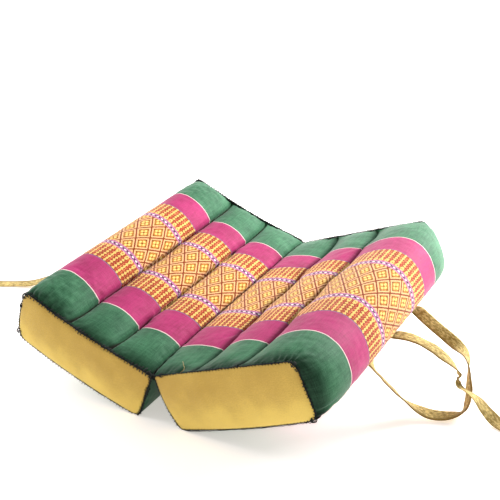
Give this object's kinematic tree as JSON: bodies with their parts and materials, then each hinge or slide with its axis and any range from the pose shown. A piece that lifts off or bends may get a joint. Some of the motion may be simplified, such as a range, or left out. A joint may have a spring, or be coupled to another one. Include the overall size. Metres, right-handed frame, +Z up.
{
  "type": "foldable meditation cushion",
  "caption": "Foldable cushion of two quilted, stuffed halves joined along a fold, lying open in a shallow V, with a carrying loop and tie tapes at its ends.",
  "frame": {"origin": "on the surface that the cushion lies on, under the middle of the outline of its body", "axes": "+Z up, Y along the fold, +X across the fold towards the end with the carrying loop"},
  "size_m": [0.9217, 0.4126, 0.1402],
  "materials": {
    "cover_cloth": "woven cloth with a slight silky sheen, banded green, pink and patterned gold",
    "side_cotton": "plain gold cotton, matt",
    "tape_cotton": "plain olive-gold cotton tape, matt"
  },
  "bodies": {
    "root": {"cushion": "cover_cloth", "gusset_left_front": "side_cotton", "gusset_right_front": "side_cotton", "gusset_left_back": "side_cotton", "gusset_right_back": "side_cotton", "carry_loop": "tape_cotton", "tie_left": "tape_cotton", "tie_right": "tape_cotton"}
  },
  "joints": []
}
